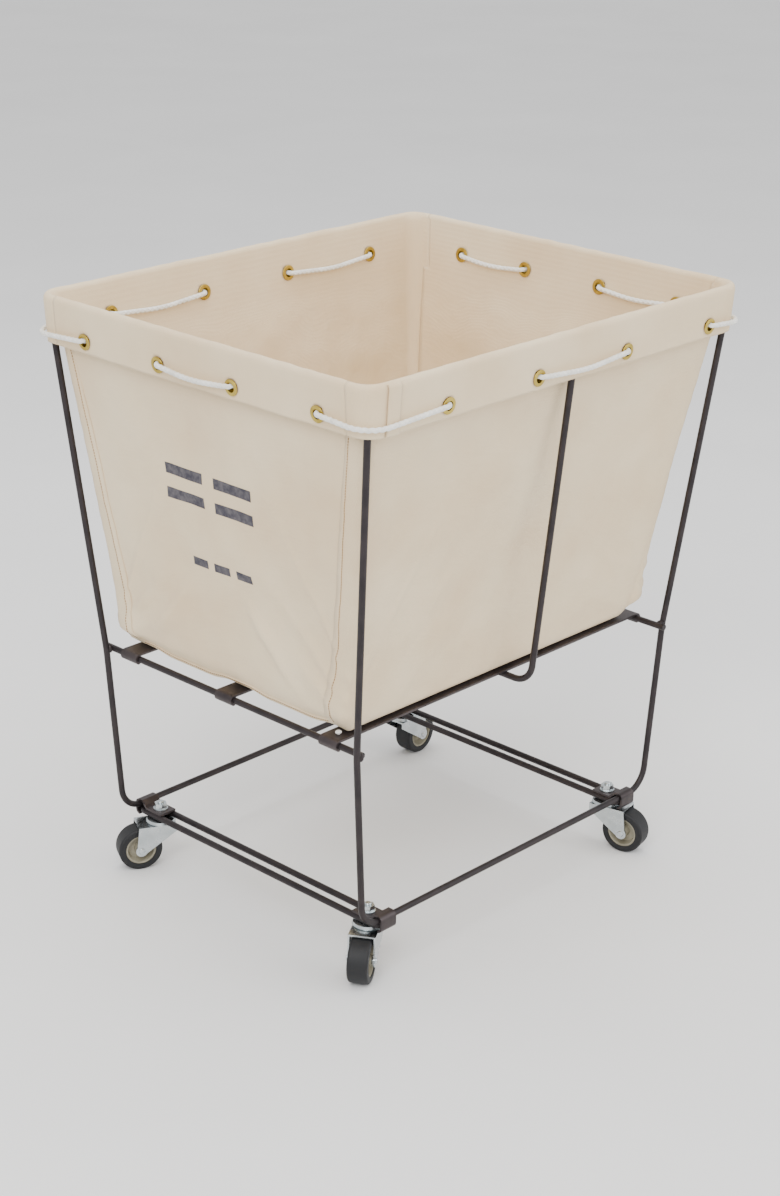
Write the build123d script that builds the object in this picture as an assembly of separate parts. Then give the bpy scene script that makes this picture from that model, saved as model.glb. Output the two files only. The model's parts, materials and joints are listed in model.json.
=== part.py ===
from build123d import *
from math import atan2, degrees, pi, sqrt
import os

# Laundry cart: a canvas basket laced to a rim wire, on a bent wire frame with
# four swivel casters.  Millimetres, +Z up, +X along the long side.  The origin
# is on the floor under the middle of the rim.

# ---- driving dimensions -------------------------------------------------
WIRE_D = 9.0                    # frame wire
RIM_HALF_X = 358.0              # rim wire centre line
RIM_HALF_Y = 299.0
RIM_Z = 839.5
RIM_CORNER_R = 25.0
LEG_KINK = (313.0, 242.5, 343.0)        # where the cross rods are welded
LEG_FOOT = (294.5, 237.5, 88.5)         # sharp corner of the bottom bend
LEG_BEND_R = 35.0
BASE_X = 252.0                  # middle of the doubled base wires
BASE_SPACING = 23.0
STEM_Y = 207.0                  # caster stems, between the doubled wires
STRAP_W = 32.0
STRAP_T = 3.0
STRAP_YS = {"near": -188.0, "middle": 7.0, "far": 198.0}
TIED_STRAP = "near"             # its left end has a hole for a tie
BELLY_X = 17.0                  # wire that runs under the middle of the basket
BELLY_BEND_R = 30.0
CANVAS_T = 1.6
FLOOR_HALF_X = 284.0            # canvas floor, outer size
FLOOR_HALF_Y = 216.0
FLOOR_MID_Y = 16.0              # the loose canvas sits off centre on the straps
HEM_EDGE_Z = 782.0              # lower edge of the hem flap
FLAP_SLOPE = 0.07               # the flap leans in less than the wall behind it
EYELET_Z = 800.0
ROPE_D = 7.0
WHEEL_D = 63.5                  # 2-1/2 inch caster wheel
WHEEL_W = 28.6
CASTER_TRAIL = 33.0
AXLE_D = 6.0
STEM_D = 9.5
CASTERS = {                     # corner: side of X, side of Y, trail direction
    "near": (-1, -1, -149.0),
    "left": (-1, 1, 152.0),
    "right": (1, -1, -77.0),
    "far": (1, 1, 3.0),
}

# ---- worked-out dimensions ----------------------------------------------
WIRE_R = WIRE_D / 2
WELD_GAP = 0.2                  # welded wires stop this short of each other
LEG_TOP_INSET = RIM_CORNER_R * (1 - sqrt(0.5))
LEG_TOP = (
    RIM_HALF_X - LEG_TOP_INSET,
    RIM_HALF_Y - LEG_TOP_INSET,
    RIM_Z - WIRE_D - WELD_GAP + 1.2,
)
ROD_X = LEG_KINK[0] - WIRE_D - WELD_GAP
ROD_Z = LEG_KINK[2]
ROD_ENDS_Y = {-1: -LEG_KINK[1] - 1.0, 1: -LEG_KINK[1] - WIRE_R - 6.0}
ROD_FAR_Y = LEG_KINK[1] + WIRE_R + 8.0
STRAP_Z = ROD_Z + WIRE_R + WELD_GAP     # underside of the straps
BASE_Z = LEG_FOOT[2] - WIRE_D - WELD_GAP
CANVAS_GAP = 0.4                # canvas stays this far from the wire it wraps
FLOOR_Z = STRAP_Z + STRAP_T + CANVAS_GAP
PLATE_Z = BASE_Z + WIRE_R + WELD_GAP    # underside of the corner clips
WHEEL_R = WHEEL_D / 2
SIDES = {"near": (0, -1), "far": (0, 1), "left": (-1, 0), "right": (1, 0)}


def save(shape, node):
    export_step(shape, f"parts/{node}.step")


def wire_along(points, bend_r, diameter=WIRE_D):
    """Round wire through the points, with bends of one radius or a list."""
    path = FilletPolyline(*points, radius=bend_r)
    section = Plane(origin=path @ 0, z_dir=path % 0) * Circle(diameter / 2)
    return sweep(section, path=path)


def rod_between(start, end, diameter=WIRE_D):
    axis = Vector(*end) - Vector(*start)
    section = Plane(origin=start, z_dir=axis) * Circle(diameter / 2)
    return extrude(section, axis.length)


# ---- frame ----------------------------------------------------------------
TIE_X = -ROD_X + 13.0
TIE_HOLE_R = 2.6
TIE_KNOT = (4.6, 4.0, 2.6)      # half sizes
ROD_WELD = (4.5, 6.5, 7.0)      # half sizes
RIM_WELD = (8.5, 3.7, 3.8)      # half sizes, the first one along the rim


def rim_wire():
    """Rounded rectangle of wire, swept as two halves that meet at the ends."""
    half = wire_along(
        [
            (RIM_HALF_X, 0, RIM_Z),
            (RIM_HALF_X, RIM_HALF_Y, RIM_Z),
            (-RIM_HALF_X, RIM_HALF_Y, RIM_Z),
            (-RIM_HALF_X, 0, RIM_Z),
        ],
        RIM_CORNER_R,
    )
    return half + mirror(half, Plane.XZ)


def leg_frame(side):
    """One long side: leg, kink, bottom bend, long bottom wire, and back up."""
    up_left = [
        (-LEG_TOP[0], side * LEG_TOP[1], LEG_TOP[2]),
        (-LEG_KINK[0], side * LEG_KINK[1], LEG_KINK[2]),
        (-LEG_FOOT[0], side * LEG_FOOT[1], LEG_FOOT[2]),
    ]
    up_right = [(-x, y, z) for x, y, z in reversed(up_left)]
    kink_r = 200.0
    return wire_along(up_left + up_right, [kink_r, LEG_BEND_R, LEG_BEND_R, kink_r])


def base_loop(side):
    """Closed narrow loop: the doubled wire that clamps two caster stems."""
    end_y = LEG_FOOT[1]
    inner_x = BASE_X - BASE_SPACING / 2
    outer_x = BASE_X + BASE_SPACING / 2
    half = wire_along(
        [
            (side * inner_x, 0, BASE_Z),
            (side * inner_x, end_y, BASE_Z),
            (side * outer_x, end_y, BASE_Z),
            (side * outer_x, 0, BASE_Z),
        ],
        BASE_SPACING / 2 - 0.1,
    )
    return half + mirror(half, Plane.XZ)


def cross_rod(side):
    start = (side * ROD_X, ROD_ENDS_Y[side], ROD_Z)
    return rod_between(start, (side * ROD_X, ROD_FAR_Y, ROD_Z))


def belly_wire():
    """Comes down both long sides from the rim and passes under the straps."""
    bottom_z = STRAP_Z - WELD_GAP - WIRE_R
    corner_y = LEG_KINK[1] + 3.0
    top = (BELLY_X, RIM_HALF_Y, RIM_Z - WIRE_D - WELD_GAP + 3.0)
    return wire_along(
        [
            (top[0], -top[1], top[2]),
            (BELLY_X, -corner_y, bottom_z),
            (BELLY_X, corner_y, bottom_z),
            top,
        ],
        BELLY_BEND_R,
    )


def strap(y, tied):
    """Flat bar from cross rod to cross rod, its ends curled down over them."""
    inner_r = WIRE_R + WELD_GAP
    outer_r = inner_r + STRAP_T
    section = Pos(ROD_X, ROD_Z) * (Circle(outer_r) - Circle(inner_r))
    keep = Pos(ROD_X + outer_r, ROD_Z + outer_r / 2) * Rectangle(2 * outer_r, 2 * outer_r + 6)
    curl = section & keep
    flat = Pos(ROD_X / 2, ROD_Z + (inner_r + outer_r) / 2) * Rectangle(ROD_X, STRAP_T)
    half = curl + flat
    whole = half + mirror(half, Plane.YZ)
    solid = extrude(Plane.XZ.offset(-y) * whole, STRAP_W / 2, both=True)
    if tied:
        solid = solid - Pos(TIE_X, y, STRAP_Z) * Cylinder(TIE_HOLE_R, 20)
    return solid


def strap_tie(y):
    """Short white cord: a knot on the strap, and its tail down through the hole."""
    tail = Cylinder(TIE_HOLE_R - 0.5, 14.0)
    knot = Pos(0, 0, STRAP_T + TIE_KNOT[2] + 0.1) * scale(Sphere(1), by=TIE_KNOT)
    return Pos(TIE_X, y, STRAP_Z) * (tail + knot)


def weld_bead(place, size, wires, turn=0.0):
    """Blob of weld metal round a joint, cut back to the faces of its wires."""
    bead = Pos(*place) * Rot(0, 0, turn) * scale(Sphere(1), by=size)
    for part in wires:
        bead = bead - part
    return max(bead.solids(), key=lambda solid: solid.volume)


def frame_welds(rim, legs, rods, belly):
    """Beads at the cross rods, at the leg tops and at the belly wire's tops."""
    beads = []
    for side_x, rod in ((-1, rods["left"]), (1, rods["right"])):
        for side_y, leg in ((-1, legs["near"]), (1, legs["far"])):
            place = (side_x * (ROD_X + WIRE_R), side_y * LEG_KINK[1], ROD_Z)
            beads.append(weld_bead(place, ROD_WELD, [rod, leg]))
            top = (side_x * LEG_TOP[0], side_y * LEG_TOP[1], LEG_TOP[2])
            along_rim = degrees(atan2(side_y, side_x)) + 90.0
            beads.append(weld_bead(top, RIM_WELD, [rim, leg], along_rim))
    for side_y in (-1, 1):
        top = (BELLY_X, side_y * RIM_HALF_Y, RIM_Z - WIRE_R - 1.0)
        beads.append(weld_bead(top, RIM_WELD, [rim, belly]))
    return beads


# ---- corner clips and stem fasteners ---------------------------------------
CLIP_HALF_W = 14.0
WASHER_ROOM = 1.8
NUT_H = 7.5
STEM_SHOWS = 3.0                # thread above the nut


def corner_clip(side_x, side_y, leg):
    """Flat plate on the doubled wires, curled up and over the long wire."""
    inner_r = WIRE_R + WELD_GAP
    outer_r = inner_r + STRAP_T
    wire_y = LEG_FOOT[1]
    wire_z = LEG_FOOT[2]
    plate_end = STEM_Y - 16.0
    ramp_y = wire_y - 15.0
    loop_z = BASE_Z
    tall = wire_z - loop_z
    mid_z = (wire_z + loop_z) / 2
    outer = Pos(wire_y, mid_z) * Rot(0, 0, 90) * SlotCenterToCenter(tall, 2 * outer_r)
    inner = Pos(wire_y, mid_z) * Rot(0, 0, 90) * SlotCenterToCenter(tall, 2 * inner_r)
    keep = Pos(wire_y + outer_r, mid_z) * Rectangle(2 * outer_r, 4 * outer_r)
    hoop = (outer - inner) & keep
    band = Polyline(
        (plate_end, PLATE_Z),
        (ramp_y, PLATE_Z),
        (wire_y - 5.0, wire_z + inner_r),
        (wire_y, wire_z + inner_r),
        (wire_y, wire_z + outer_r),
        (wire_y - 6.5, wire_z + outer_r),
        (ramp_y - 1.0, PLATE_Z + STRAP_T),
        (plate_end, PLATE_Z + STRAP_T),
        close=True,
    )
    profile = make_face(band) + hoop
    solid = extrude(Plane.YZ.offset(BASE_X) * profile, CLIP_HALF_W, both=True)
    solid = solid - Pos(BASE_X, STEM_Y, PLATE_Z) * Cylinder(STEM_D / 2 + 0.4, 20)
    long_wire = Pos(0, wire_y, wire_z) * Rot(0, 90, 0) * Cylinder(inner_r, 2000)
    solid = solid - long_wire
    if side_x < 0:
        solid = mirror(solid, Plane.YZ)
    if side_y < 0:
        solid = mirror(solid, Plane.XZ)
    return solid - leg


def stem_nut(x, y):
    base = PLATE_Z + STRAP_T + WASHER_ROOM
    nut = Pos(x, y, base) * extrude(RegularPolygon(9.2, 6), NUT_H)
    nut = nut & (Pos(x, y, base + NUT_H / 2) * scale(Sphere(1), by=(10.3, 10.3, 7.4)))
    return nut - Pos(x, y, base) * Cylinder(STEM_D / 2 + 0.02, 60)


def stem_washer(x, y):
    base = PLATE_Z + STRAP_T
    ring = Cylinder(10.5, 1.6) - Cylinder(STEM_D / 2 + 0.3, 5)
    return Pos(x, y, base + 0.9) * ring


# ---- casters -----------------------------------------------------------------
RACE_TOP = BASE_Z - WIRE_R - WELD_GAP
CROWN_Z = WHEEL_D + 2.3         # underside of the fork's crown
CROWN_T = 2.4
FORK_HALF_W = WHEEL_W / 2 + 2.2         # inner face of a side plate
PLATE_T = 2.2


def caster_stem():
    """Threaded stem, with the kingpin head under the fork's crown."""
    top = PLATE_Z + STRAP_T + WASHER_ROOM + NUT_H + STEM_SHOWS
    shank_z = CROWN_Z - 4.3
    shank = Pos(0, 0, (top + shank_z) / 2) * Cylinder(STEM_D / 2, top - shank_z)
    shank = chamfer(shank.edges().group_by(Axis.Z)[-1], 1.0)
    head = Pos(0, 0, CROWN_Z - 2.3) * Cylinder(8.0, 4.0)
    return shank + head


def caster_race():
    """Pressed cap that the balls run under, gripped by the doubled wires."""
    low = CROWN_Z + CROWN_T + 1.4
    profile = Polyline(
        (STEM_D / 2, RACE_TOP),
        (12.0, RACE_TOP),
        (20.0, RACE_TOP - 1.6),
        (21.5, low),
        (16.0, low),
        (STEM_D / 2, low),
        close=True,
    )
    return revolve(Plane.XZ * make_face(profile), Axis.Z)


def caster_fork():
    """Crown round the stem, two side plates down to the axle."""
    plate = Polyline(
        (-19.0, CROWN_Z + CROWN_T),
        (-19.0, CROWN_Z - 8.0),
        (CASTER_TRAIL - 6.5, WHEEL_R - 5.0),
        (CASTER_TRAIL + 7.0, WHEEL_R - 3.0),
        (CASTER_TRAIL + 3.0, CROWN_Z + CROWN_T),
        close=True,
    )
    tip = Pos(CASTER_TRAIL, WHEEL_R) * Circle(8.5)
    outline = make_face(plate) + tip
    outer = FORK_HALF_W + PLATE_T
    sides = extrude(Plane.XZ * outline, outer, both=True)
    sides = sides - Box(200, 2 * FORK_HALF_W, 400)
    crown_face = Rectangle(CASTER_TRAIL + 22.0, 2 * outer)
    crown_face = Pos((CASTER_TRAIL - 16.0) / 2, 0) * crown_face
    crown = Pos(0, 0, CROWN_Z) * extrude(crown_face, CROWN_T)
    boss = Pos(0, 0, CROWN_Z) * extrude(Circle(20.0), CROWN_T + 0.9)
    fork = sides + crown + boss
    fork = fork - Pos(0, 0, CROWN_Z) * Cylinder(STEM_D / 2 + 0.05, 30)
    bore = Pos(CASTER_TRAIL, 0, WHEEL_R) * Rot(90, 0, 0) * Cylinder(AXLE_D / 2 + 0.02, 100)
    return fork - bore


def caster_axle():
    """Rivet with a domed head outside each side plate."""
    outer = FORK_HALF_W + PLATE_T
    profile = Polyline(
        (0, -outer - 2.4),
        (3.6, -outer - 2.0),
        (4.8, -outer - 0.1),
        (AXLE_D / 2, -outer - 0.1),
        (AXLE_D / 2, outer + 0.1),
        (4.8, outer + 0.1),
        (3.6, outer + 2.0),
        (0, outer + 2.4),
        close=True,
    )
    pin = revolve(Plane.XZ * make_face(profile), Axis.Z)
    return Pos(CASTER_TRAIL, 0, WHEEL_R) * Rot(90, 0, 0) * pin


CORE_R = 22.0


def wheel_core():
    """Moulded core: rim band, thin web in a deep dish, hub on the axle."""
    half_w = WHEEL_W / 2 - 1.4
    profile = Polyline(
        (AXLE_D / 2 + 0.05, -half_w - 1.0),
        (7.5, -half_w - 1.0),
        (9.0, -4.0),
        (17.0, -3.0),
        (19.5, -half_w),
        (CORE_R, -half_w),
        (CORE_R, half_w),
        (19.5, half_w),
        (17.0, 3.0),
        (9.0, 4.0),
        (7.5, half_w + 1.0),
        (AXLE_D / 2 + 0.05, half_w + 1.0),
        close=True,
    )
    body = revolve(Plane.XZ * make_face(profile), Axis.Z)
    return Pos(CASTER_TRAIL, 0, WHEEL_R) * Rot(90, 0, 0) * body


def wheel_tyre():
    half_w = WHEEL_W / 2
    shoulder = 3.5
    face = Pos((CORE_R + WHEEL_R) / 2, 0) * Rectangle(WHEEL_R - CORE_R, 2 * half_w)
    outer_corners = face.vertices().sort_by(Axis.X)[-2:]
    face = fillet(outer_corners, shoulder)
    body = revolve(Plane.XZ * face, Axis.Z)
    return Pos(CASTER_TRAIL, 0, WHEEL_R) * Rot(90, 0, 0) * body


# ---- canvas --------------------------------------------------------------------
WALL_TOP_X = RIM_HALF_X - WIRE_R - CANVAS_GAP   # outer face of an end panel, at the rim
WALL_TOP_Y = RIM_HALF_Y - WIRE_R - CANVAS_GAP
WALL_HEIGHT = RIM_Z - FLOOR_Z


def basket_half(z):
    """Half length, half width and middle Y of the basket's outside at a height."""
    rise = (z - FLOOR_Z) / WALL_HEIGHT
    half_x = FLOOR_HALF_X + (WALL_TOP_X - FLOOR_HALF_X) * rise
    half_y = FLOOR_HALF_Y + (WALL_TOP_Y - FLOOR_HALF_Y) * rise
    return half_x, half_y, FLOOR_MID_Y * (1 - rise)


def tapered_block(inset, low_z, high_z):
    """The basket's outer shape with rounded upright corners, shrunk by inset."""
    faces = []
    for z in (low_z, high_z):
        half_x, half_y, mid_y = basket_half(z)
        corner = 8.0 + 16.0 * (z - FLOOR_Z) / WALL_HEIGHT - inset
        outline = RectangleRounded(2 * (half_x - inset), 2 * (half_y - inset), corner)
        faces.append(Pos(0, mid_y, z) * outline)
    return loft(faces)


def side_wedge(normal, low_z, high_z, low_half, high_half):
    """Everything nearer to one side than to its neighbours, from above."""
    reach = 500.0
    faces = []
    for z, (half_x, half_y, mid_y) in ((low_z, low_half), (high_z, high_half)):
        shift = half_x - half_y
        if normal[0]:
            tip = normal[0] * shift
            edge = normal[0] * (shift + reach)
            points = [(tip, mid_y), (edge, mid_y + reach), (edge, mid_y - reach)]
        else:
            edge = mid_y + normal[1] * reach
            points = [(-shift, mid_y), (shift, mid_y)]
            points += [(shift + reach, edge), (-shift - reach, edge)]
        faces.append(Pos(0, 0, z) * make_face(Polyline(*points, close=True)))
    return loft(faces)


def canvas_panels():
    """Four walls that meet at the corners, and the floor panel inside their feet."""
    wall_top = RIM_Z - CANVAS_GAP
    inside = tapered_block(CANVAS_T, FLOOR_Z, wall_top)
    walls = tapered_block(0, FLOOR_Z, wall_top) - inside
    floor_slab = Pos(0, 0, FLOOR_Z + CANVAS_T / 2) * Box(1000, 1000, CANVAS_T)
    panels = {"floor": inside & floor_slab}
    for name, normal in SIDES.items():
        wedge = side_wedge(normal, FLOOR_Z, RIM_Z, basket_half(FLOOR_Z), basket_half(RIM_Z))
        panels[name] = walls & wedge
    return panels


def eyelet_places():
    """Centre and outward direction of each eyelet: four on every side."""
    near_x = (-226.0, -60.0, 115.0, 292.0)
    far_x = (-250.0, -82.0, 80.0, 248.0)
    left_y = (206.0, 63.0, -72.0, -220.0)
    right_y = (189.0, 66.0, -72.0, -208.0)
    places = [((1.0, y), (1, 0)) for y in reversed(right_y)]
    places += [((x, 1.0), (0, 1)) for x in reversed(far_x)]
    places += [((-1.0, y), (-1, 0)) for y in left_y]
    places += [((x, -1.0), (0, -1)) for x in near_x]
    return places


HEM_OUT_X = RIM_HALF_X + WIRE_R + CANVAS_GAP + CANVAS_T     # outside of the hem
HEM_OUT_Y = RIM_HALF_Y + WIRE_R + CANVAS_GAP + CANVAS_T
HEM_TOP_Z = RIM_Z + WIRE_R + CANVAS_GAP + CANVAS_T
EYELET_R = 11.0
EYELET_BORE_R = 6.2
FLANGE_T = 1.6
KNOT_SHARE = 0.42               # of the way from the right corner to the next eyelet
KNOT_HALF = 5.0                 # along the rope
KNOT_DEPTH = 5.2
KNOT_TALL = 7.0
STAND_OFF = 0.9                 # the eyelets' flanges ride on the curved canvas


def eyelet_faces(side, normal):
    """Points on the inside of the wall and on the outside of the flap."""
    half_x, half_y, mid_y = basket_half(EYELET_Z)
    lean = FLAP_SLOPE * (RIM_Z - EYELET_Z)
    if normal[0]:
        inner = (normal[0] * (half_x - CANVAS_T), side[1], EYELET_Z)
        outer = (normal[0] * (HEM_OUT_X - lean), side[1], EYELET_Z)
    else:
        inner = (side[0], mid_y + normal[1] * (half_y - CANVAS_T), EYELET_Z)
        outer = (side[0], normal[1] * (HEM_OUT_Y - lean), EYELET_Z)
    return Vector(*inner), Vector(*outer)


def eyelet_plane(side, normal):
    """On the wall's inner face, square to the way through both layers."""
    inner, outer = eyelet_faces(side, normal)
    tilt = Vector(normal[0], normal[1], -0.1).normalized()
    return Plane(origin=inner, z_dir=tilt), (outer - inner).length


def eyelet(side, normal):
    """Barrel through both layers of canvas, with a rolled flange on each."""
    plane, through = eyelet_plane(side, normal)
    barrel = Circle(EYELET_BORE_R + 0.8) - Circle(EYELET_BORE_R)
    flange = Circle(EYELET_R) - Circle(EYELET_BORE_R)
    body = extrude(plane.offset(-STAND_OFF - 0.5) * barrel, through + 2 * STAND_OFF + 1.0)
    for height in (-STAND_OFF - FLANGE_T, through + STAND_OFF):
        ring = extrude(plane.offset(height) * flange, FLANGE_T)
        rounded = [e for e in ring.edges().filter_by(GeomType.CIRCLE) if e.radius > 8]
        ring = fillet(rounded, 0.6)
        body = body + ring
    return body


def eyelet_hole(side, normal):
    plane, through = eyelet_plane(side, normal)
    return extrude(plane.offset(-10) * Circle(EYELET_BORE_R + 0.9), through + 20)


def hem_ring():
    """Canvas turned over the rim wire: top, and the flap that hangs outside."""
    lean = FLAP_SLOPE * (RIM_Z - HEM_EDGE_Z)
    outer_corner = RIM_CORNER_R + WIRE_R + CANVAS_T

    def flap_block(inset):
        faces = []
        for z, shrink in ((HEM_EDGE_Z, inset + lean), (RIM_Z, inset)):
            outline = RectangleRounded(
                2 * (HEM_OUT_X - shrink), 2 * (HEM_OUT_Y - shrink), outer_corner - inset)
            faces.append(Pos(0, 0, z) * outline)
        return loft(faces)

    flap = flap_block(0) - flap_block(CANVAS_T)
    top = Pos(0, 0, RIM_Z) * extrude(
        RectangleRounded(2 * HEM_OUT_X, 2 * HEM_OUT_Y, outer_corner), HEM_TOP_Z - RIM_Z)
    top = fillet(top.edges().group_by(Axis.Z)[-1], 4.0)
    mouth = RectangleRounded(
        2 * (WALL_TOP_X - CANVAS_T), 2 * (WALL_TOP_Y - CANVAS_T), RIM_CORNER_R - WIRE_R - CANVAS_T)
    wire_room = RectangleRounded(
        2 * (HEM_OUT_X - CANVAS_T), 2 * (HEM_OUT_Y - CANVAS_T), outer_corner - CANVAS_T)
    wire_room = wire_room - RectangleRounded(2 * WALL_TOP_X, 2 * WALL_TOP_Y, RIM_CORNER_R - WIRE_R)
    top = top - Pos(0, 0, RIM_Z) * extrude(mouth, 40, both=True)
    top = top - Pos(0, 0, RIM_Z) * extrude(wire_room, WIRE_R + CANVAS_GAP)
    return flap + top


# ---- lacing ----------------------------------------------------------------------
ROPE_STAND = STAND_OFF + FLANGE_T + ROPE_D / 2 + 0.5      # rope's middle, off the canvas
ROPE_TURN_R = 7.5               # at each eyelet
ROPE_CORNER_R = 36.0            # round the corners of the rim
ROPE_SAG = 6.0
ROPE_LONG_R = 320.0             # the easy bend of a run between two eyelets


def lacing_route():
    """The rope's corners and their radii, counterclockwise from the right corner:
    outside round each corner, then in, out, in and out through four eyelets."""
    points = []
    radii = []
    places = eyelet_places()
    for index, (side, normal) in enumerate(places):
        inner, outer = eyelet_faces(side, normal)
        away = Vector(normal[0], normal[1], 0) * ROPE_STAND
        number = index % 4
        pair = [outer + away, inner - away]
        if number in (1, 3):
            pair.reverse()
        points += pair
        radii += [ROPE_TURN_R, ROPE_TURN_R]
        next_side, next_normal = places[(index + 1) % len(places)]
        next_inner, next_outer = eyelet_faces(next_side, next_normal)
        if number == 3:
            beyond = next_outer + Vector(next_normal[0], next_normal[1], 0) * ROPE_STAND
            here = pair[1]
            corner = (here.X, beyond.Y) if normal[0] else (beyond.X, here.Y)
            points.append(Vector(*corner, EYELET_Z - ROPE_SAG))
            radii.append(ROPE_CORNER_R)
        else:
            direction = 1 if number == 1 else -1
            end = next_outer if number == 1 else next_inner
            start = outer if number == 1 else inner
            slack = Vector(normal[0], normal[1], 0) * (direction * (ROPE_STAND + 2.0))
            points.append((start + end) * 0.5 + slack - Vector(0, 0, ROPE_SAG))
            radii.append(ROPE_LONG_R)
    return points, radii


def lacing_rope():
    """One rope whose ends meet at the knot, just past the right corner."""
    points, radii = lacing_route()
    last = points[-1]
    first = points[0]
    knot = last + (first - last) * KNOT_SHARE
    step = (first - last).normalized() * KNOT_HALF
    route = [knot + step] + points + [knot - step]
    rope = wire_along(route, radii, ROPE_D)
    run = FilletPolyline(*route, radius=radii).length
    section = pi * ROPE_D ** 2 / 4
    print("lacing rope length", round(run, 1), "volume share", round(rope.volume / (section * run), 4))
    return rope, knot


def rope_knot(knot):
    """The knot fills the gap between the rope's ends."""
    return Pos(knot) * scale(Sphere(1), by=(KNOT_DEPTH, KNOT_HALF - 0.3, KNOT_TALL))


# ---- build --------------------------------------------------------------------------
os.makedirs("parts", exist_ok=True)

rim = rim_wire()
save(rim, "rim_wire")
legs = {"near": leg_frame(-1), "far": leg_frame(1)}
for name, frame in legs.items():
    save(frame, f"leg_frame_{name}")
loops = {"left": base_loop(-1), "right": base_loop(1)}
for name, loop in loops.items():
    save(loop, f"base_loop_{name}")
rods = {"left": cross_rod(-1), "right": cross_rod(1)}
for name, rod in rods.items():
    save(rod, f"cross_rod_{name}")
belly = belly_wire()
save(belly, "belly_wire")
straps = {name: strap(y, name == TIED_STRAP) for name, y in STRAP_YS.items()}
for name, bar in straps.items():
    save(bar, f"strap_{name}")
save(strap_tie(STRAP_YS[TIED_STRAP]), "strap_tie")
for name, (sx, sy, angle) in CASTERS.items():
    leg = legs["near" if sy < 0 else "far"]
    save(corner_clip(sx, sy, leg), f"clip_{name}")
nuts = [stem_nut(sx * BASE_X, sy * STEM_Y) for sx, sy, angle in CASTERS.values()]
save(Compound(children=nuts), "stem_nuts")
washers = [stem_washer(sx * BASE_X, sy * STEM_Y) for sx, sy, angle in CASTERS.values()]
save(Compound(children=washers), "stem_washers")
for name, (sx, sy, angle) in CASTERS.items():
    place = Pos(sx * BASE_X, sy * STEM_Y, 0) * Rot(0, 0, angle)
    save(place * caster_stem(), f"caster_{name}_stem")
    save(place * caster_race(), f"caster_{name}_race")
    save(place * caster_fork(), f"caster_{name}_fork")
    save(place * caster_axle(), f"caster_{name}_axle")
    save(place * wheel_core(), f"caster_{name}_core")
    save(place * wheel_tyre(), f"caster_{name}_tyre")
eyelets = [eyelet(side, normal) for side, normal in eyelet_places()]
save(Compound(children=eyelets), "eyelets")
holes = [eyelet_hole(side, normal) for side, normal in eyelet_places()]
for name, panel in canvas_panels().items():
    save(panel - holes if name != "floor" else panel, f"canvas_{name}")
ring = hem_ring()
hem_half = (RIM_HALF_X, RIM_HALF_Y, 0)
for name, normal in SIDES.items():
    wedge = side_wedge(normal, HEM_EDGE_Z - 5, RIM_Z + 20, hem_half, hem_half)
    save((ring & wedge) - holes, f"hem_{name}")
rope, knot = lacing_rope()
save(rope, "lacing_rope")
save(rope_knot(knot), "rope_knot")
save(Compound(children=frame_welds(rim, legs, rods, belly)), "weld_beads")
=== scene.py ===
import json
import math
import random

import bmesh
import bpy
from mathutils import Matrix, Vector, noise


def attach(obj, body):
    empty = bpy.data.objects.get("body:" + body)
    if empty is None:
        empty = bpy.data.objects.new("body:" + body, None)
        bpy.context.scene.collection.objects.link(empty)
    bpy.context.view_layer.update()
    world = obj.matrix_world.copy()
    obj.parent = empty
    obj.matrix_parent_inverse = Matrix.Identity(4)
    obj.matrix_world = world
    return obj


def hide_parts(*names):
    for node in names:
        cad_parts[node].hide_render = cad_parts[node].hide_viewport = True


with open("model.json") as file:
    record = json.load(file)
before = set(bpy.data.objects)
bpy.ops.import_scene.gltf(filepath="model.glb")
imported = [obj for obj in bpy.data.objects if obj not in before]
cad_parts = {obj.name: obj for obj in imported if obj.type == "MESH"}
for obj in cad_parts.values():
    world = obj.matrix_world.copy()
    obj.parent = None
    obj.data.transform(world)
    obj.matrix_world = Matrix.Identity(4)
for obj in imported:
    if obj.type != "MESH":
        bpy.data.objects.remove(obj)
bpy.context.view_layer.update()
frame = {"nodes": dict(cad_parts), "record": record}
random.seed(7)

MM = 0.001

# ---- the CAD's measures, in mm ----------------------------------------------
RIM_X, RIM_Y, RIM_Z, RIM_R = 358.0, 299.0, 839.5, 25.0
FLOOR_Z, FLOOR_X, FLOOR_Y, FLOOR_MID = 351.1, 284.0, 216.0, 16.0
WALL_X, WALL_Y = 353.1, 294.1
HEM_X, HEM_Y, HEM_EDGE = 364.5, 305.5, 782.0
FLAP_SLOPE = 0.07
EYELET_Z = 800.0
CLOTH_T = 1.5
HOLE_R = 8.4           # in the cloth, under the eyelets' flanges
STRAP_YS = (-188.0, 7.0, 198.0)
NEAR_X = (-226.0, -60.0, 115.0, 292.0)
FAR_X = (-250.0, -82.0, 80.0, 248.0)
LEFT_Y = (206.0, 63.0, -72.0, -220.0)
RIGHT_Y = (189.0, 66.0, -72.0, -208.0)
WRAP = 22.0            # the body cloth's width on the end faces
SEAM_UP = 10.0         # the bottom seam's height on the end faces
SEAM_LOW = 42.0        # the side seams' distance from the corners, at the floor
SEAM_HIGH = 20.0       # and at the hem


def smooth(a, b, x):
    t = max(0.0, min(1.0, (x - a) / (b - a)))
    return t * t * (3 - 2 * t)


def bump(x, middle, width):
    return math.exp(-((x - middle) / width) ** 2)


def wall_halves(z):
    rise = (z - FLOOR_Z) / (RIM_Z - FLOOR_Z)
    return (FLOOR_X + (WALL_X - FLOOR_X) * rise, FLOOR_Y + (WALL_Y - FLOOR_Y) * rise,
            FLOOR_MID * (1 - rise), 8.0 + 16.0 * rise)


# ---- the basket's outline -----------------------------------------------------
def spaced(length, step):
    count = max(2, round(length / step))
    return [i / count for i in range(count)]


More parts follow.
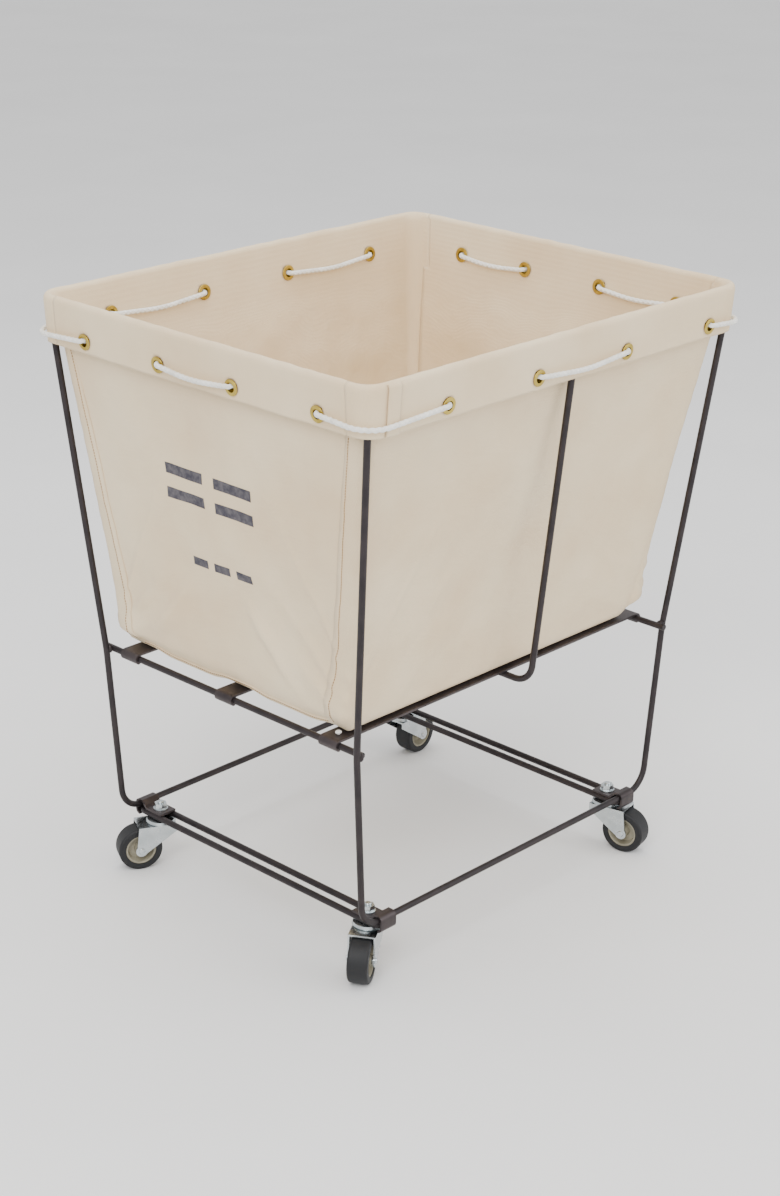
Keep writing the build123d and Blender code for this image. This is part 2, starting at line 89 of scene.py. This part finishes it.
def outline_marks():
    """(side, share) round the basket from the near-left corner, counterclockwise:
    straights carry a share of their length, corners a share of their quarter turn."""
    marks = []
    for side, half in (("near", RIM_X), ("right", RIM_Y), ("far", RIM_X), ("left", RIM_Y)):
        marks += [(side, "line", s) for s in spaced(2 * half, 4.2)]
        marks += [(side, "turn", s) for s in spaced(36.0, 3.4)]
    return marks


MARKS = outline_marks()
STARTS = {"near": (-1, -1), "right": (1, -1), "far": (1, 1), "left": (-1, 1)}
STEPS = {"near": (1, 0), "right": (0, 1), "far": (-1, 0), "left": (0, -1)}
NORMALS = {"near": (0, -1), "right": (1, 0), "far": (0, 1), "left": (-1, 0)}


def seam_share():
    return (WRAP - RIM_R * 0.6) / (2 * RIM_Y - 2 * RIM_R)


def slide(share, height, run):
    """Moves an end face's columns so that the seams lean towards the corners."""
    seam = seam_share()
    wanted = (SEAM_LOW + (SEAM_HIGH - SEAM_LOW) * height - 12.0) / run
    if share < seam:
        return share / seam * wanted
    if share > 1 - seam:
        return 1 - (1 - share) / seam * wanted
    return wanted + (share - seam) / (1 - 2 * seam) * (1 - 2 * wanted)


def outline_point(mark, half_x, half_y, mid_y, radius, height=None):
    """Point and outward normal on a rounded rectangle."""
    side, kind, share = mark
    sx, sy = STARTS[side]
    dx, dy = STEPS[side]
    nx, ny = NORMALS[side]
    run = 2 * (half_x if dx else half_y) - 2 * radius
    if height is not None and dy and kind == "line":
        share = slide(share, height, run)
    start = Vector((sx * half_x + dx * radius, sy * half_y + dy * radius, 0))
    end = start + Vector((dx * run, dy * run, 0))
    if kind == "line":
        place = start.lerp(end, share)
        normal = Vector((nx, ny, 0))
    else:
        centre = end - Vector((nx, ny, 0)) * radius
        angle = share * math.pi / 2
        normal = Vector((nx, ny, 0)) * math.cos(angle) + Vector((dx, dy, 0)) * math.sin(angle)
        place = centre + normal * radius
    place.y += mid_y
    return place, normal


def eyelet_spots():
    spots = []
    for y in reversed(RIGHT_Y):
        spots.append((1, 0, y))
    for x in reversed(FAR_X):
        spots.append((0, 1, x))
    for y in LEFT_Y:
        spots.append((-1, 0, y))
    for x in NEAR_X:
        spots.append((0, -1, x))
    return spots


def eyelet_points(spot):
    """Inside of the wall and outside of the flap at an eyelet."""
    nx, ny, along = spot
    half_x, half_y, mid_y, radius = wall_halves(EYELET_Z)
    lean = FLAP_SLOPE * (RIM_Z - EYELET_Z)
    if nx:
        return (Vector((nx * (half_x - 1.6), along, EYELET_Z)),
                Vector((nx * (HEM_X - lean), along, EYELET_Z)))
    return (Vector((along, mid_y + ny * (half_y - 1.6), EYELET_Z)),
            Vector((along, ny * (HEM_Y - lean), EYELET_Z)))


EYELETS = [eyelet_points(s) for s in eyelet_spots()]


def eyelet_reach(p):
    """Distance from a point to the nearest eyelet's axis."""
    nearest = 1e9
    for inner, outer in EYELETS:
        along = (outer - inner).normalized()
        off = p - inner
        across = (off - along * off.dot(along)).length
        if abs(off.dot(along)) < 40:
            nearest = min(nearest, across)
    return nearest


# ---- folds of the canvas --------------------------------------------------------
def ripple(p, scale, seed):
    return noise.noise(Vector((p.x / scale + seed, p.y / scale, p.z / scale)))


def wall_push(p, normal, z):
    """Outward push of the wall at a point, in mm."""
    height = (z - FLOOR_Z) / (RIM_Z - FLOOR_Z)
    free = smooth(0.0, 0.05, height) * (1 - smooth(0.76, 0.87, height))
    end_face = abs(normal.x)
    along = p.y if end_face > 0.7 else p.x
    half = 250.0 if end_face > 0.7 else 320.0
    inside = smooth(0.0, 90.0, half + 15.0 - abs(along))
    push = 6.5 * ripple(p, 120, 3) * inside + 2.8 * ripple(p, 48, 9) * inside
    push += 0.6 * ripple(p, 16, 4)
    if normal.x < -0.7:
        for lean in (-0.75, 0.75):
            off = (p.y - 20) - lean * (560 - z)
            push += 6.0 * bump(off, 0, 13) * smooth(365, 420, z) * (1 - smooth(450, 508, z))
    for corner in (-1, 1):
        off = half - corner * along
        for slope, width, deep in ((0.5, 11, 7.5), (0.95, 8, 6.0), (1.9, 7, 5.0)):
            line = (z - FLOOR_Z) - slope * off - 8
            fade = math.exp(-((off / 170) ** 2) - ((z - FLOOR_Z) / 230) ** 2)
            push += deep * bump(line, 0, width * (0.9 + off / 160)) * fade * smooth(12, 60, off)
    push -= 4.0 * bump(along, 0, half * 0.8) * bump(height, 0.5, 0.35) * (1 - end_face)
    push += 2.0 * bump(along, 0, half * 0.8) * bump(height, 0.45, 0.35) * end_face
    if end_face < 0.5:
        push = min(push, 1.2)
    low = smooth(0.01, 0.05, height) * math.exp(-height / 0.22)
    if end_face > 0.3:
        for sx, sy, out in ((1, -1, 17.0), (-1, 1, 12.0), (-1, -1, 5.0), (1, 1, 8.0)):
            if sx * normal.x > 0:
                push += out * low * math.exp(-((sy * 205 - p.y) / 110) ** 2) * end_face
    return push * free


def floor_drop(x, y):
    """How far the floor cloth hangs below the straps' tops between them."""
    between = 1.0
    for strap in STRAP_YS:
        between = min(between, smooth(16, 60, abs(y - strap)))
    edge = smooth(0.75, 0.98, abs(x) / FLOOR_X)
    near_belly = bump(x, 17, 30)
    drop = between * (3.2 + 2.4 * edge) * (1 - 0.7 * near_belly)
    corner = smooth(0.93, 1.0, abs(x) / FLOOR_X) * smooth(0.9, 1.0, abs(y - FLOOR_MID) / FLOOR_Y)
    lift = {(-1, -1): -2.0, (-1, 1): 2.0, (1, -1): 6.0, (1, 1): 5.0}
    return drop * (1 - corner) - lift[(-1 if x < 0 else 1, -1 if y < 0 else 1)] * corner


# ---- the basket grid ---------------------------------------------------------------
def basket_rows():
    rows = [("floor", s) for s in (0.0, 0.12, 0.24, 0.36, 0.46, 0.56, 0.65, 0.73, 0.8, 0.86,
                                   0.9, 0.93, 0.955, 0.975)]
    rows += [("wall", z) for z in (4.0, 7.0, SEAM_UP)]
    count = 104
    top = RIM_Z - FLOOR_Z
    rows += [("wall", SEAM_UP + (top - SEAM_UP) * (i + 1) / count) for i in range(count)]
    rows += [("roll", i / 8) for i in range(1, 9)]
    rows += [("flap", i / 18) for i in range(1, 19)]
    return rows


ROWS = basket_rows()


def flap_edge(place, normal):
    """The loose edge of the flap waves up, down and outwards."""
    wave = noise.noise(Vector((place.x / 85, place.y / 85, 2.0)))
    fine = noise.noise(Vector((place.x / 30, place.y / 30, 8.0)))
    return 1.6 * wave + 0.7 * fine


def basket_point(row, mark):
    kind, value = row
    if kind == "floor":
        place, normal = outline_point(mark, *wall_halves(FLOOR_Z), 0.0)
        middle = Vector((0, FLOOR_MID, 0))
        p = middle + (place - middle) * value
        p.z = FLOOR_Z + 1.0 - floor_drop(p.x, p.y)
        if value > 0.9:
            p.z += 1.6 * smooth(0.9, 1.0, value)
        return p, Vector((0, 0, -1))
    if kind == "wall":
        z = FLOOR_Z + value
        height = value / (RIM_Z - FLOOR_Z)
        place, normal = outline_point(mark, *wall_halves(z), height)
        foot = math.exp(-value / 9.0)
        place -= normal * (4.5 * foot)
        place.z = z - floor_drop(place.x * 0.999, place.y) * math.exp(-value / 30.0) + 1.2 * foot
        place += normal * wall_push(place, normal, z)
        return place, normal
    if kind == "roll":
        base, normal = outline_point(mark, RIM_X, RIM_Y, 0, RIM_R, 1.0)
        angle = math.pi * (1 - value)
        swell = 1.3 + 0.9 * noise.noise(base / 22)
        place = base + normal * (math.cos(angle) * 4.95)
        place.z = RIM_Z + math.sin(angle) * (5.0 + swell)
        return place, normal
    base, normal = outline_point(mark, HEM_X, HEM_Y, 0, RIM_R + 4.5 + 1.6, 1.0)
    drop = value * (RIM_Z - HEM_EDGE)
    loose = smooth(0.1, 1.0, value) * smooth(10, 34, 0.0 + eyelet_clear(base, drop))
    place = base - normal * (FLAP_SLOPE * drop + CLOTH_T)
    place += normal * (loose * flap_edge(base, normal))
    place.z = RIM_Z - drop + smooth(0.5, 1.0, value) * 1.3 * noise.noise(
        Vector((base.x / 60, base.y / 60, 5.0)))
    return place, normal


def eyelet_clear(base, drop):
    return eyelet_reach(Vector((base.x, base.y, RIM_Z - drop)))


def mesh_object(name, verts, faces, material=None, smooth_shade=True):
    mesh = bpy.data.meshes.new(name)
    mesh.from_pydata([tuple(c * MM for c in v) for v in verts], [], faces)
    mesh.validate()
    if smooth_shade:
        mesh.polygons.foreach_set("use_smooth", [True] * len(mesh.polygons))
    made = bpy.data.objects.new(name, mesh)
    bpy.context.scene.collection.objects.link(made)
    if material:
        mesh.materials.append(material)
    return made


def apply_all(obj):
    bpy.context.view_layer.update()
    graph = bpy.context.evaluated_depsgraph_get()
    done = bpy.data.meshes.new_from_object(obj.evaluated_get(graph))
    obj.modifiers.clear()
    obj.data = done


GRID = [[basket_point(row, mark) for mark in MARKS] for row in ROWS]
COLS = len(MARKS)
FIRST_FLAP = next(i for i, r in enumerate(ROWS) if r[0] == "flap")
FIRST_WALL = next(i for i, r in enumerate(ROWS) if r[0] == "wall")
SEAM_ROW = next(i for i, r in enumerate(ROWS) if r == ("wall", SEAM_UP))


def end_columns(side):
    """Columns of an end face between the two seams, in order."""
    found = []
    for i, (name, kind, share) in enumerate(MARKS):
        if name == side and kind == "line":
            if seam_share() <= share <= 1 - seam_share():
                found.append(i)
    return found


END_COLS = {side: end_columns(side) for side in ("left", "right")}
END_SETS = {side: set(cols[:-1]) for side, cols in END_COLS.items()}


def clear_of_eyelets(p):
    """Moves a point at the edge of an eyelet's hole out to the hole's radius."""
    for inner, outer in EYELETS:
        along = (outer - inner).normalized()
        off = p - inner
        depth = off.dot(along)
        across = off - along * depth
        if abs(depth) < 40 and 0.01 < across.length < HOLE_R:
            return inner + along * depth + across.normalized() * HOLE_R
    return p


def in_hole(points):
    centre = sum(points, Vector()) / len(points)
    return eyelet_reach(centre) < HOLE_R


def grid_object(name, wants, inset, material):
    index = {}
    verts = []
    faces = []
    for r in range(len(ROWS) - 1):
        for c in range(COLS):
            if not wants(r, c):
                continue
            keys = [(r, c), (r, (c + 1) % COLS), (r + 1, (c + 1) % COLS), (r + 1, c)]
            points = [GRID[k[0]][k[1]][0] for k in keys]
            if ROWS[r][0] in ("wall", "flap", "roll") and in_hole(points):
                continue
            face = []
            for key in keys:
                if key[0] == 0:
                    key = (0, 0)
                if key not in index:
                    p, n = GRID[key[0]][key[1]]
                    index[key] = len(verts)
                    verts.append(clear_of_eyelets(p - n * inset(key[0])))
                face.append(index[key])
            face = list(dict.fromkeys(face))
            if len(face) > 2:
                faces.append(face[::-1] if ROWS[r][0] == "floor" and r == 0 else face)
    made = mesh_object(name, verts, faces, material)
    b = bmesh.new()
    b.from_mesh(made.data)
    bmesh.ops.recalc_face_normals(b, faces=b.faces)
    middle = Vector((0, 0, 0.6))
    outward = sum((f.normal.dot(f.calc_center_median() - middle) for f in b.faces))
    if outward < 0:
        bmesh.ops.reverse_faces(b, faces=b.faces)
    b.to_mesh(made.data)
    b.free()
    thick = made.modifiers.new("thickness", "SOLIDIFY")
    thick.thickness = CLOTH_T * MM
    thick.offset = -1
    apply_all(made)
    made.data.polygons.foreach_set("use_smooth", [True] * len(made.data.polygons))
    return made


# ---- materials ------------------------------------------------------------------------
def linear(r, g, b):
    def one(v):
        v /= 255
        return v / 12.92 if v <= 0.04045 else ((v + 0.055) / 1.055) ** 2.4
    return (one(r), one(g), one(b), 1.0)


def material(name, colour, dark, rough, metal=0.0, blotch=9.0, bump_scale=400.0, bump_mm=0.1,
             share=0.5, sheen=0.0, weave=False):
    made = bpy.data.materials.new(name)
    made.use_nodes = True
    nodes = made.node_tree.nodes
    links = made.node_tree.links
    shader = nodes["Principled BSDF"]
    shader.inputs["Metallic"].default_value = metal
    shader.inputs["Sheen Weight"].default_value = sheen
    coords = nodes.new("ShaderNodeTexCoord")
    broad = nodes.new("ShaderNodeTexNoise")
    broad.inputs["Scale"].default_value = blotch
    broad.inputs["Detail"].default_value = 6.0
    links.new(coords.outputs["Object"], broad.inputs["Vector"])
    ramp = nodes.new("ShaderNodeValToRGB")
    ramp.color_ramp.elements[0].position = 0.5 - share / 2
    ramp.color_ramp.elements[1].position = 0.5 + share / 2
    ramp.color_ramp.elements[0].color = linear(*dark)
    ramp.color_ramp.elements[1].color = linear(*colour)
    links.new(broad.outputs["Fac"], ramp.inputs["Fac"])
    links.new(ramp.outputs["Color"], shader.inputs["Base Color"])
    rough_map = nodes.new("ShaderNodeMapRange")
    rough_map.inputs["To Min"].default_value = max(0.05, rough - 0.09)
    rough_map.inputs["To Max"].default_value = min(1.0, rough + 0.09)
    links.new(broad.outputs["Fac"], rough_map.inputs["Value"])
    links.new(rough_map.outputs["Result"], shader.inputs["Roughness"])
    fine = nodes.new("ShaderNodeTexNoise")
    fine.inputs["Scale"].default_value = bump_scale
    fine.inputs["Detail"].default_value = 3.0
    links.new(coords.outputs["Object"], fine.inputs["Vector"])
    height = fine.outputs["Fac"]
    if weave:
        total = None
        for axis in ("X", "Y", "Z"):
            wave = nodes.new("ShaderNodeTexWave")
            wave.bands_direction = axis
            wave.inputs["Scale"].default_value = 320.0
            wave.inputs["Distortion"].default_value = 1.5
            links.new(coords.outputs["Object"], wave.inputs["Vector"])
            add = nodes.new("ShaderNodeMath")
            add.operation = "ADD"
            links.new(total if total else height, add.inputs[0])
            links.new(wave.outputs["Fac"], add.inputs[1])
            total = add.outputs["Value"]
        height = total
    relief = nodes.new("ShaderNodeBump")
    relief.inputs["Strength"].default_value = 0.5
    relief.inputs["Distance"].default_value = bump_mm * MM
    links.new(height, relief.inputs["Height"])
    links.new(relief.outputs["Normal"], shader.inputs["Normal"])
    return made


CANVAS = material("canvas_cloth", (243, 224, 190), (228, 202, 162), 0.92, blotch=7.0,
                  bump_scale=260.0, bump_mm=0.35, sheen=0.15, weave=True)
ROPE = material("braided_cotton", (246, 245, 240), (222, 219, 210), 0.85, blotch=60.0,
                bump_scale=900.0, bump_mm=0.12, sheen=0.1)
THREAD = material("sewing_thread", (178, 138, 88), (150, 112, 66), 0.8, blotch=80.0)
PAINT = material("stencil_paint", (58, 56, 66), (92, 88, 92), 0.85, blotch=120.0, share=0.3)
STEEL = material("frame_steel", (56, 49, 50), (34, 30, 33), 0.42, metal=0.55, blotch=40.0,
                 bump_scale=500.0, bump_mm=0.08)
STRAP = material("strap_steel", (84, 76, 76), (54, 48, 50), 0.4, metal=0.7, blotch=30.0,
                 bump_scale=300.0, bump_mm=0.08)
ZINC = material("zinc_plate", (208, 214, 216), (184, 191, 194), 0.26, metal=1.0, blotch=70.0,
                bump_scale=300.0, bump_mm=0.05)
TYRE = material("tyre_rubber", (16, 17, 21), (9, 10, 13), 0.6, blotch=50.0, bump_scale=600.0,
                bump_mm=0.1)
CORE = material("wheel_core", (158, 152, 132), (132, 126, 108), 0.5, blotch=60.0,
                bump_scale=500.0, bump_mm=0.08)
BRASS = material("brass", (205, 182, 92), (164, 138, 60), 0.3, metal=1.0, blotch=90.0,
                 bump_scale=400.0, bump_mm=0.04)
BY_SLOT = {"frame_steel": STEEL, "strap_steel": STRAP, "zinc": ZINC, "tyre": TYRE,
           "wheel_core": CORE, "brass": BRASS, "canvas": CANVAS, "rope": ROPE}

for part in frame["record"]["subparts"]:
    node = frame["nodes"][part["node"]]
    node.data.materials.clear()
    node.data.materials.append(BY_SLOT[part["material_slot"]])

# ---- the cloth pieces --------------------------------------------------------------------
body_cloth = grid_object(
    "canvas_body",
    lambda r, c: ROWS[r][0] == "floor" or r < SEAM_ROW
    or not any(c in cols for cols in END_SETS.values()),
    lambda r: 0.0, CANVAS)
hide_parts("canvas_near", "canvas_far", "canvas_floor", "hem_near", "hem_far")
ends = {}
for side in ("left", "right"):
    cols = END_COLS[side]
    under = set(range(cols[0] - 2, cols[-1] + 2))
    kept = END_SETS[side]

    def wanted(r, c, kept=kept, under=under):
        if r < SEAM_ROW - 1:
            return False
        if r < FIRST_FLAP - 24:
            return c in under
        return c in kept

    ends[side] = grid_object(
        f"canvas_end_{side}", wanted,
        lambda r: 1.7 * (1 - smooth(FIRST_FLAP - 40, FIRST_FLAP - 24, r)), CANVAS)
    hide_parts(f"canvas_{side}", f"hem_{side}")
for cloth in (body_cloth, *ends.values()):
    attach(cloth, "cart")


# ---- sewing ----------------------------------------------------------------------------------
def on_grid(row, col):
    r, c = int(row), int(math.floor(col))
    fr, fc = row - r, col - c
    r2 = min(r + 1, len(ROWS) - 1)
    a, b = GRID[r][c % COLS], GRID[r][(c + 1) % COLS]
    d, e = GRID[r2][c % COLS], GRID[r2][(c + 1) % COLS]
    p = a[0].lerp(b[0], fc).lerp(d[0].lerp(e[0], fc), fr)
    n = (a[1].lerp(b[1], fc)).lerp(d[1].lerp(e[1], fc), fr)
    return p, n.normalized()


def stitch_mesh(name, lines):
    """Short thread humps laid end to end along lines of (point, normal)."""
    verts, faces = [], []
    long, fat, pitch = 3.3, 0.75, 4.0
    for line in lines:
        travelled, nxt = 0.0, 2.0
        for (p, n), (q, m) in zip(line, line[1:]):
            step = (q - p).length
            while step > 1e-6 and travelled + step > nxt:
                t = (nxt - travelled) / step
                centre = p.lerp(q, t)
                up = n.lerp(m, t).normalized()
                along = (q - p).normalized()
                across = up.cross(along).normalized()
                base = len(verts)
                for i in range(5):
                    s = -1 + i / 2
                    w = fat * math.sqrt(max(0.04, 1 - s * s))
                    for k in range(6):
                        a = k * math.pi / 3
                        verts.append(centre + along * (s * long / 2) + across * (w * math.cos(a))
                                     + up * (w * math.sin(a) + 0.3))
                for i in range(4):
                    for k in range(6):
                        k2 = (k + 1) % 6
                        faces.append((base + i * 6 + k, base + i * 6 + k2,
                                      base + (i + 1) * 6 + k2, base + (i + 1) * 6 + k))
                faces.append(tuple(base + k for k in range(5, -1, -1)))
                faces.append(tuple(base + 24 + k for k in range(6)))
                nxt += pitch
            travelled += step
    made = mesh_object(name, verts, faces, THREAD)
    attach(made, "cart")
    return made


LAST_WALL = FIRST_FLAP - 9
for side in ("left", "right"):
    cols = END_COLS[side]
    lines = []
    for edge, inward in ((cols[0], -0.9), (cols[-1], 0.9)):
        lines.append([on_grid(r, edge + inward) for r in range(SEAM_ROW, LAST_WALL)])
    lines.append([on_grid(SEAM_ROW - 0.8, c) for c in range(cols[0], cols[-1] + 1)])
    stitch_mesh(f"stitches_{side}", lines)


def on_lap(row, col):
    p, n = on_grid(row, col)
    return p + n * (CLOTH_T + 1.5), n


near_cols = [i for i, m in enumerate(MARKS) if m[0] == "near" and m[1] == "line"]
lap_col = near_cols[3]
stitch_mesh("stitches_lap", [
    [on_lap(r, lap_col + gap) for r in range(FIRST_FLAP, len(ROWS) - 1)] for gap in (0.0, 1.4)])

lap_verts, lap_faces = [], []
lap_rows = list(range(FIRST_FLAP - 4, len(ROWS)))
for r in lap_rows:
    for k in range(7):
        p, n = on_grid(min(r, len(ROWS) - 1.001), near_cols[0] + k * 0.95)
        lap_verts.append(p + n * (CLOTH_T + (1.5 if k < 6 else 1.0)))
for i in range(len(lap_rows) - 1):
    for k in range(6):
        a = i * 7 + k
        lap_faces.append((a, a + 1, a + 8, a + 7))
lap = mesh_object("hem_lap", lap_verts, lap_faces, CANVAS)
lap_thick = lap.modifiers.new("thickness", "SOLIDIFY")
lap_thick.thickness = 1.4 * MM
lap_thick.offset = -1
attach(lap, "cart")

# ---- a generic stencilled mark ------------------------------------------------------------------
def end_patch(y_low, y_high, z_low, z_high, verts, faces):
    """A painted bar on the left end panel, laid just over the cloth."""
    across, tall = 10, 4
    base = len(verts)
    cols = END_COLS["left"]
    for i in range(tall + 1):
        z = z_low + (z_high - z_low) * i / tall
        row = SEAM_ROW + (z - FLOOR_Z - SEAM_UP) / (RIM_Z - FLOOR_Z - SEAM_UP) * 104
        for k in range(across + 1):
            y = y_low + (y_high - y_low) * k / across
            low, high = on_grid(row, cols[0])[0].y, on_grid(row, cols[-1])[0].y
            col = cols[0] + (y - low) / (high - low) * (cols[-1] - cols[0])
            p, n = on_grid(row, col)
            verts.append(p - n * 1.45)
    for i in range(tall):
        for k in range(across):
            a = base + i * (across + 1) + k
            faces.append((a, a + 1, a + across + 2, a + across + 1))


mark_verts, mark_faces = [], []
for z in (640.0, 606.0):
    for k in range(2):
        low = 96.0 - k * 92.0
        end_patch(low - 70.0, low, z, z + 15.0, mark_verts, mark_faces)
for k in range(3):
    low = 58.0 - k * 40.0
    end_patch(low - 28.0, low, 520.0, 532.0, mark_verts, mark_faces)
mark = mesh_object("stencil_mark", mark_verts, mark_faces, PAINT)
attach(mark, "cart")

# ---- the lacing rope --------------------------------------------------------------------------------
ROPE_R = 3.5
ROPE_STAND = 0.9 + 1.6 + ROPE_R + 0.5
ROPE_SAG = 6.0


def rope_route():
    spots = eyelet_spots()
    points, radii = [], []
    for index, spot in enumerate(spots):
        inner, outer = eyelet_points(spot)
        normal = Vector((spot[0], spot[1], 0))
        away = normal * ROPE_STAND
        number = index % 4
        pair = [outer + away, inner - away]
        if number in (1, 3):
            pair.reverse()
        points += pair
        radii += [7.5, 7.5]
        following = spots[(index + 1) % len(spots)]
        next_inner, next_outer = eyelet_points(following)
        if number == 3:
            beyond = next_outer + Vector((following[0], following[1], 0)) * ROPE_STAND
            here = pair[1]
            corner = (here.x, beyond.y) if spot[0] else (beyond.x, here.y)
            points.append(Vector((*corner, EYELET_Z - ROPE_SAG)))
            radii.append(36.0)
        else:
            out = number == 1
            end, start = (next_outer, outer) if out else (next_inner, inner)
            slack = normal * ((1 if out else -1) * (ROPE_STAND + 2.0))
            points.append((start + end) * 0.5 + slack - Vector((0, 0, ROPE_SAG)))
            radii.append(320.0)
    first, last = points[0], points[-1]
    knot = last + (first - last) * 0.42
    step = (first - last).normalized() * 5.0
    return [knot + step] + points + [knot - step], radii, knot


def rounded_line(points, radii, pitch):
    """The polyline with its corners turned into arcs, as evenly spaced points."""
    path = [points[0]]
    for i, radius in enumerate(radii):
        before, here, after = points[i], points[i + 1], points[i + 2]
        u, v = (before - here).normalized(), (after - here).normalized()
        opening = u.angle(v)
        if opening > math.pi - 1e-4:
            path.append(here)
            continue
        back = radius / math.tan(opening / 2)
        middle = here + (u + v).normalized() * (radius / math.sin(opening / 2))
        a, b = here + u * back - middle, here + v * back - middle
        turn = a.angle(b)
        count = max(4, int(radius * turn / 0.8))
        for k in range(count + 1):
            t = k / count
            path.append(middle + (a * math.sin((1 - t) * turn) + b * math.sin(t * turn))
                        / math.sin(turn))
    path.append(points[-1])
    even, left = [path[0]], pitch
    for p, q in zip(path, path[1:]):
        step = (q - p).length
        run = 0.0
        while step - run >= left:
            run += left
            even.append(p.lerp(q, run / step))
            left = pitch
        left -= step - run
    return even


def braided_tube(name, path, radius, pitch=0.9, around=20):
    verts, faces = [], []
    tangent = (path[1] - path[0]).normalized()
    side = tangent.orthogonal().normalized()
    for i, p in enumerate(path):
        ahead = (path[min(i + 1, len(path) - 1)] - path[max(i - 1, 0)]).normalized()
        side = (side - ahead * side.dot(ahead)).normalized()
        other = ahead.cross(side)
        s = i * pitch
        for k in range(around):
            a = 2 * math.pi * k / around
            one = math.sin(3 * a + s * 0.75)
            two = math.sin(3 * a - s * 0.75)
            size = radius * (0.74 + 0.26 * max(one, two, 0.0))
            verts.append(p + side * (size * math.cos(a)) + other * (size * math.sin(a)))
    for i in range(len(path) - 1):
        for k in range(around):
            k2 = (k + 1) % around
            faces.append((i * around + k, i * around + k2,
                          (i + 1) * around + k2, (i + 1) * around + k))
    faces.append(tuple(range(around - 1, -1, -1)))
    faces.append(tuple((len(path) - 1) * around + k for k in range(around)))
    made = mesh_object(name, verts, faces, ROPE)
    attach(made, "cart")
    return made


route, bend_radii, knot_place = rope_route()
rope = braided_tube("braided_rope", rounded_line(route, bend_radii, 0.9), ROPE_R)
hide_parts("lacing_rope")

knot_path = []
for i in range(90):
    t = 2 * math.pi * i / 89
    knot_path.append(knot_place + Vector((
        (2.0 * math.sin(3 * t)) + 1.6,
        2.1 * (math.sin(t) + 2 * math.sin(2 * t)) * 0.95,
        2.1 * (math.cos(t) - 2 * math.cos(2 * t)) * 0.95)))
knot = braided_tube("lacing_knot", knot_path, 2.9, 0.6)
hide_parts("rope_knot")
tail_path = [knot_place + Vector((2.5 + 2.2 * t, -3.0 * t, -4.0 - 15.0 * t))
             for t in (i / 20 for i in range(21))]
tail = braided_tube("knot_tail", tail_path, 3.0, 0.8)

# ---- floor, light, camera -------------------------------------------------------------------------------
floor_verts = [(-40000, -40000, 0), (40000, -40000, 0), (40000, 40000, 0), (-40000, 40000, 0)]
FLOOR_PAINT = material("studio_floor", (240, 240, 240), (234, 234, 234), 0.8, blotch=2.0,
                       bump_scale=40.0, bump_mm=0.02)
ground = mesh_object("studio_floor", floor_verts, [(0, 1, 2, 3)], FLOOR_PAINT, False)


def area_light(name, place, aim, size, watts):
    data = bpy.data.lights.new(name, "AREA")
    data.size = size
    data.energy = watts
    lamp = bpy.data.objects.new(name, data)
    bpy.context.scene.collection.objects.link(lamp)
    lamp.location = place
    lamp.rotation_mode = "QUATERNION"
    lamp.rotation_quaternion = (Vector(aim) - Vector(place)).to_track_quat("-Z", "Y")


area_light("key", (-2.6, -1.6, 3.0), (0, 0, 0.5), 2.2, 105)
area_light("fill", (1.8, -3.0, 2.0), (0, 0, 0.5), 2.5, 52)
area_light("top", (0.2, 0.4, 3.4), (0, 0, 0.5), 2.5, 60)
world = bpy.data.worlds.new("studio")
world.use_nodes = True
world.node_tree.nodes["Background"].inputs["Color"].default_value = (1.0, 1.0, 1.0, 1.0)
world.node_tree.nodes["Background"].inputs["Strength"].default_value = 1.05
bpy.context.scene.world = world

azimuth, elevation, roll = math.radians(-46.562), math.radians(21.924), math.radians(0.879)
back = Vector((math.sin(azimuth) * math.cos(elevation),
               -math.cos(azimuth) * math.cos(elevation), math.sin(elevation)))
right = Vector((math.cos(azimuth), math.sin(azimuth), 0))
up = back.cross(right)
image_right = right * math.cos(roll) + up * math.sin(roll)
image_up = up * math.cos(roll) - right * math.sin(roll)
lens = bpy.data.cameras.new("camera")
lens.sensor_width = 36.0
lens.lens = 69.57
lens.shift_x = 0.0058
lens.clip_start, lens.clip_end = 0.05, 50.0
camera = bpy.data.objects.new("camera", lens)
bpy.context.scene.collection.objects.link(camera)
turned = Matrix((image_right, image_up, back)).transposed().to_4x4()
camera.matrix_world = Matrix.Translation(Vector((-2.186, -2.057, 1.609))) @ turned
bpy.context.scene.camera = camera
